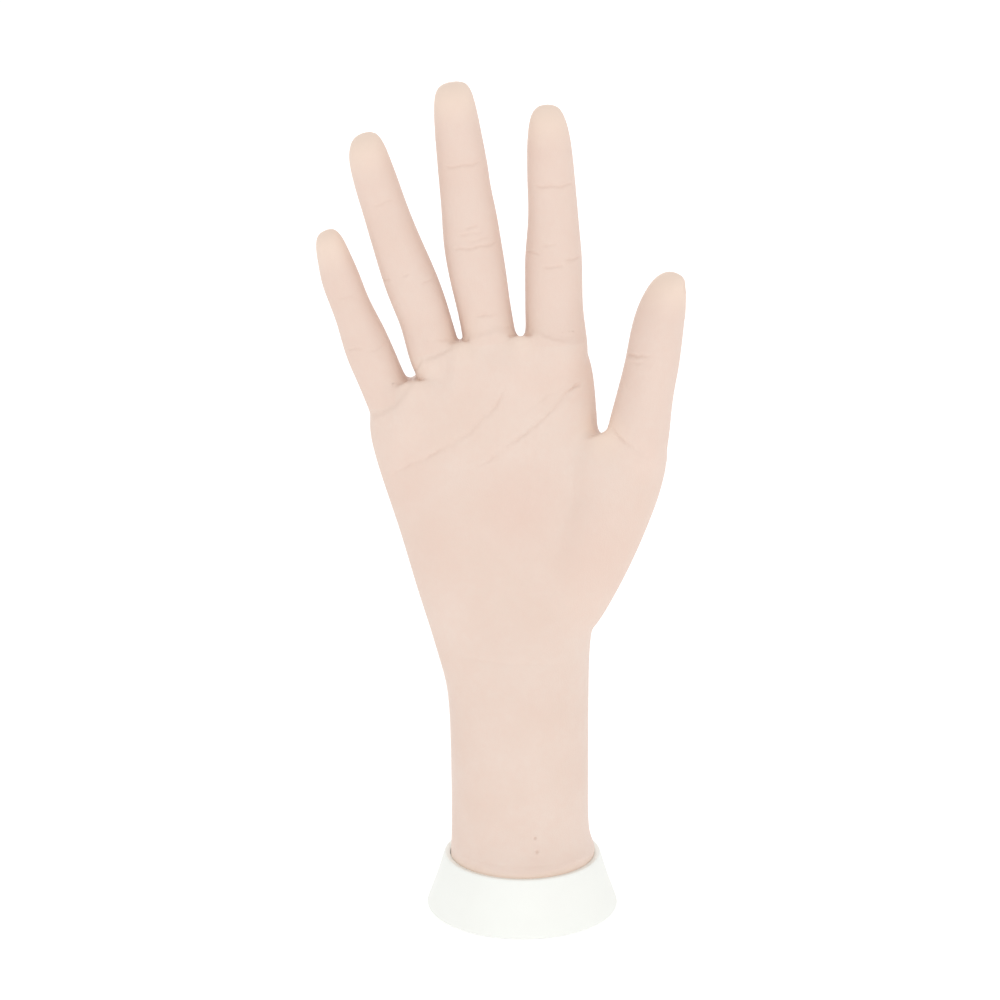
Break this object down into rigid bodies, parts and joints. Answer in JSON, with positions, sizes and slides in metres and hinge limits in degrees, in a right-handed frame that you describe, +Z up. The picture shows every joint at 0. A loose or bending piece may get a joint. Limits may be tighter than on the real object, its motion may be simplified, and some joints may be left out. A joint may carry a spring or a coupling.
{
  "type": "nail practice hand",
  "caption": "Soft life-size right hand with jointed fingers and slide-in nail tips, for practising manicures, standing palm forward in a low round white stand.",
  "frame": {"origin": "middle of the stand's underside, on the surface it stands on", "axes": "+Z up along the stand's axis, palm faces -Y, thumb on +X"},
  "size_m": [0.1108, 0.0596, 0.2582],
  "materials": {
    "skin": "matt soft vinyl skin",
    "nail": "natural nail tip",
    "stand": "satin white moulding",
    "frame": "plain moulding",
    "steel": "plain wire pin",
    "pad": "soft foam pad"
  },
  "bodies": {
    "stand": {"stand_shell": "stand", "stand_floor": "stand", "foot_pad": "pad"},
    "bush": {"wrist_bush": "frame"},
    "hand": {"palm_skin": "skin", "palm_frame": "frame", "knuckle_pins": "steel"},
    "thumb_base": {"thumb_base_skin": "skin", "thumb_base_bone": "frame", "thumb_base_pin": "steel"},
    "thumb_tip": {"thumb_tip_skin": "skin", "thumb_tip_bone": "frame"},
    "thumb_nail": {"thumb_nail_tip": "nail"},
    "index_base": {"index_base_skin": "skin", "index_base_bone": "frame", "index_base_pin": "steel"},
    "index_mid": {"index_mid_skin": "skin", "index_mid_bone": "frame", "index_mid_pin": "steel"},
    "index_tip": {"index_tip_skin": "skin", "index_tip_bone": "frame"},
    "index_nail": {"index_nail_tip": "nail"},
    "middle_base": {"middle_base_skin": "skin", "middle_base_bone": "frame", "middle_base_pin": "steel"},
    "middle_mid": {"middle_mid_skin": "skin", "middle_mid_bone": "frame", "middle_mid_pin": "steel"},
    "middle_tip": {"middle_tip_skin": "skin", "middle_tip_bone": "frame"},
    "middle_nail": {"middle_nail_tip": "nail"},
    "ring_base": {"ring_base_skin": "skin", "ring_base_bone": "frame", "ring_base_pin": "steel"},
    "ring_mid": {"ring_mid_skin": "skin", "ring_mid_bone": "frame", "ring_mid_pin": "steel"},
    "ring_tip": {"ring_tip_skin": "skin", "ring_tip_bone": "frame"},
    "ring_nail": {"ring_nail_tip": "nail"},
    "little_base": {"little_base_skin": "skin", "little_base_bone": "frame", "little_base_pin": "steel"},
    "little_mid": {"little_mid_skin": "skin", "little_mid_bone": "frame", "little_mid_pin": "steel"},
    "little_tip": {"little_tip_skin": "skin", "little_tip_bone": "frame"},
    "little_nail": {"little_nail_tip": "nail"}
  },
  "joints": [
    {"name": "hand_lift", "type": "slide", "parent": "stand", "child": "bush", "axis": [0, 0, 1], "range_m": [0, 0.034]},
    {"name": "hand_turn", "type": "hinge", "parent": "bush", "child": "hand", "pos_m": [0, 0, 0.02], "axis": [0, 0, 1], "continuous": true},
    {"name": "thumb_root_bend", "type": "hinge", "parent": "hand", "child": "thumb_base", "pos_m": [0.0356, -0.006, 0.161], "axis": [0.7507, -0.6428, -0.1527], "range_deg": [0, 20]},
    {"name": "thumb_end_bend", "type": "hinge", "parent": "thumb_base", "child": "thumb_tip", "pos_m": [0.03855, -0.006, 0.1755], "axis": [0.7507, -0.6428, -0.1527], "range_deg": [0, 30]},
    {"name": "thumb_nail_slide", "type": "slide", "parent": "thumb_tip", "child": "thumb_nail", "axis": [0.1324, -0.0801, 0.988], "range_m": [0, 0.0165]},
    {"name": "index_root_bend", "type": "hinge", "parent": "hand", "child": "index_base", "pos_m": [0.009, 0, 0.1906], "axis": [0.9995, 0, 0.0314], "range_deg": [0, 45]},
    {"name": "index_middle_bend", "type": "hinge", "parent": "index_base", "child": "index_mid", "pos_m": [0.0085, 0, 0.20659], "axis": [0.9995, 0, 0.0314], "range_deg": [0, 60]},
    {"name": "index_end_bend", "type": "hinge", "parent": "index_mid", "child": "index_tip", "pos_m": [0.00785, 0, 0.22718], "axis": [0.9995, 0, 0.0314], "range_deg": [0, 40]},
    {"name": "index_nail_slide", "type": "slide", "parent": "index_tip", "child": "index_nail", "axis": [-0.0312, -0.1045, 0.994], "range_m": [0, 0.015]},
    {"name": "middle_root_bend", "type": "hinge", "parent": "hand", "child": "middle_base", "pos_m": [-0.012, 0, 0.1906], "axis": [0.9905, 0, 0.1374], "range_deg": [0, 45]},
    {"name": "middle_middle_bend", "type": "hinge", "parent": "middle_base", "child": "middle_mid", "pos_m": [-0.01483, 0, 0.211], "axis": [0.9905, 0, 0.1374], "range_deg": [0, 60]},
    {"name": "middle_end_bend", "type": "hinge", "parent": "middle_mid", "child": "middle_tip", "pos_m": [-0.01788, 0, 0.23299], "axis": [0.9905, 0, 0.1374], "range_deg": [0, 40]},
    {"name": "middle_nail_slide", "type": "slide", "parent": "middle_tip", "child": "middle_nail", "axis": [-0.1367, -0.1045, 0.9851], "range_m": [0, 0.0155]},
    {"name": "ring_root_bend", "type": "hinge", "parent": "hand", "child": "ring_base", "pos_m": [-0.0294, 0, 0.1878], "axis": [0.9455, 0, 0.3256], "range_deg": [0, 45]},
    {"name": "ring_middle_bend", "type": "hinge", "parent": "ring_base", "child": "ring_mid", "pos_m": [-0.03461, 0, 0.20293], "axis": [0.9455, 0, 0.3256], "range_deg": [0, 60]},
    {"name": "ring_end_bend", "type": "hinge", "parent": "ring_mid", "child": "ring_tip", "pos_m": [-0.04145, 0, 0.22278], "axis": [0.9455, 0, 0.3256], "range_deg": [0, 40]},
    {"name": "ring_nail_slide", "type": "slide", "parent": "ring_tip", "child": "ring_nail", "axis": [-0.3238, -0.1045, 0.9403], "range_m": [0, 0.013]},
    {"name": "little_root_bend", "type": "hinge", "parent": "hand", "child": "little_base", "pos_m": [-0.0432, 0, 0.1714], "axis": [0.9373, 0, 0.3486], "range_deg": [0, 45]},
    {"name": "little_middle_bend", "type": "hinge", "parent": "little_base", "child": "little_mid", "pos_m": [-0.04766, 0, 0.1834], "axis": [0.9373, 0, 0.3486], "range_deg": [0, 60]},
    {"name": "little_end_bend", "type": "hinge", "parent": "little_mid", "child": "little_tip", "pos_m": [-0.05296, 0, 0.19764], "axis": [0.9373, 0, 0.3486], "range_deg": [0, 40]},
    {"name": "little_nail_slide", "type": "slide", "parent": "little_tip", "child": "little_nail", "axis": [-0.3467, -0.1045, 0.9321], "range_m": [0, 0.01]}
  ]
}
